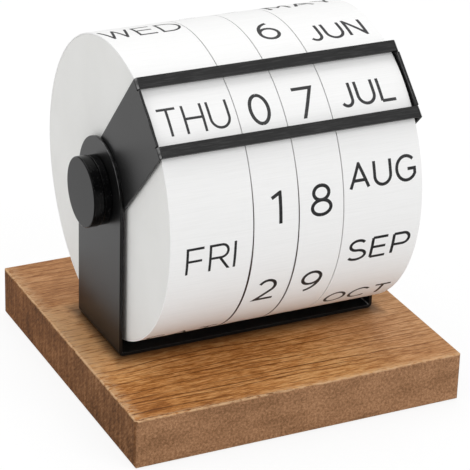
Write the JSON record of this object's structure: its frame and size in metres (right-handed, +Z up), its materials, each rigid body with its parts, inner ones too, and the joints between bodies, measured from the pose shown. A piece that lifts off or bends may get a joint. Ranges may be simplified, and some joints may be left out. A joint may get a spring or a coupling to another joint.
{
  "type": "perpetual desk calendar",
  "caption": "Desk calendar of four printed drums on one axle, read through a window frame, in a folded steel stand on a wooden board.",
  "frame": {"origin": "on the table, under the middle of the board", "axes": "+X along the axle from the weekday drum to the month drum, -Y towards the reader, +Z up"},
  "size_m": [0.12, 0.12, 0.1238],
  "materials": {
    "board_wood": "oiled brown hardwood, open straight grain along X",
    "black_steel": "satin black powder coat",
    "black_knob": "satin black lacquer on turned steel",
    "zinc_steel": "bright zinc plated",
    "nylon": "natural moulded nylon",
    "felt": "dark pressed felt",
    "drum_core": "fibreboard sealed in light grey-white paint",
    "printed_wrap": "matt white printed wrap with fine ribs along the axle"
  },
  "bodies": {
    "stand": {"base_board": "board_wood", "foot_pads": "felt", "stand_bracket": "black_steel", "board_screws": "zinc_steel", "window_frame": "black_steel", "axle": "zinc_steel", "left_end_washer": "nylon", "right_end_washer": "nylon", "spacer_washers": "nylon", "left_collar": "black_knob", "right_collar": "black_knob", "left_knob": "black_knob", "right_knob": "black_knob"},
    "weekday_drum": {"weekday_core": "drum_core", "weekday_wrap": "printed_wrap", "weekday_bush": "nylon"},
    "tens_drum": {"tens_core": "drum_core", "tens_wrap": "printed_wrap", "tens_bush": "nylon"},
    "units_drum": {"units_core": "drum_core", "units_wrap": "printed_wrap", "units_bush": "nylon"},
    "month_drum": {"month_core": "drum_core", "month_wrap": "printed_wrap", "month_bush": "nylon"}
  },
  "joints": [
    {"name": "weekday_turn", "type": "hinge", "parent": "stand", "child": "weekday_drum", "pos_m": [-0.0308, 0, 0.0721], "axis": [1, 0, 0], "continuous": true},
    {"name": "tens_turn", "type": "hinge", "parent": "stand", "child": "tens_drum", "pos_m": [-0.0081, 0, 0.0721], "axis": [1, 0, 0], "continuous": true},
    {"name": "units_turn", "type": "hinge", "parent": "stand", "child": "units_drum", "pos_m": [0.0081, 0, 0.0721], "axis": [1, 0, 0], "continuous": true},
    {"name": "month_turn", "type": "hinge", "parent": "stand", "child": "month_drum", "pos_m": [0.0308, 0, 0.0721], "axis": [1, 0, 0], "continuous": true}
  ]
}
